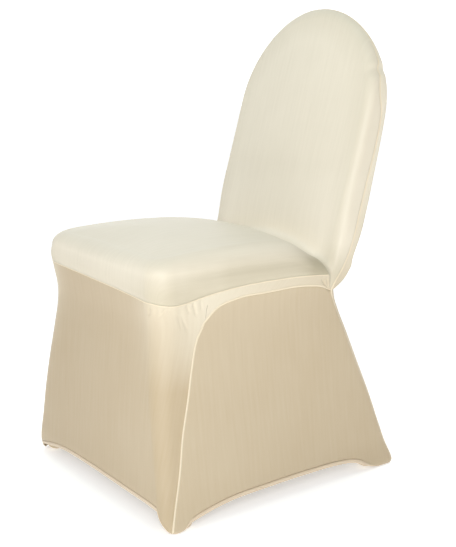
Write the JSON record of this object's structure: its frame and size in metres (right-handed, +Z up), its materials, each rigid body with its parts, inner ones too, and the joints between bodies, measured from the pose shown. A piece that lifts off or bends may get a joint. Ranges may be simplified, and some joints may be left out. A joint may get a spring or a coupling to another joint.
{
  "type": "fitted stretch chair cover",
  "caption": "Fitted stretch-knit cover for a banquet chair, draped skin only, open below, with an arched back, a tight seat and closed foot pockets.",
  "frame": {"origin": "on the floor under the middle of the cover's width and length", "axes": "+X to the right seen from the front; +Y rearward; +Z up"},
  "size_m": [0.5086, 0.5594, 0.9083],
  "materials": {
    "upper_knit": "ivory stretch knit, satin, pulled tight",
    "skirt_knit": "champagne stretch knit, satin, pulled tight",
    "pocket_cloth": "champagne knit, doubled, satin"
  },
  "bodies": {
    "root": {"seat_and_inside_back": "upper_knit", "back_panel": "skirt_knit", "front_skirt": "skirt_knit", "side_panel_right": "skirt_knit", "side_panel_left": "skirt_knit", "foot_pocket_front_right": "pocket_cloth", "foot_pocket_front_left": "pocket_cloth", "foot_pocket_rear_right": "pocket_cloth", "foot_pocket_rear_left": "pocket_cloth"}
  },
  "joints": []
}
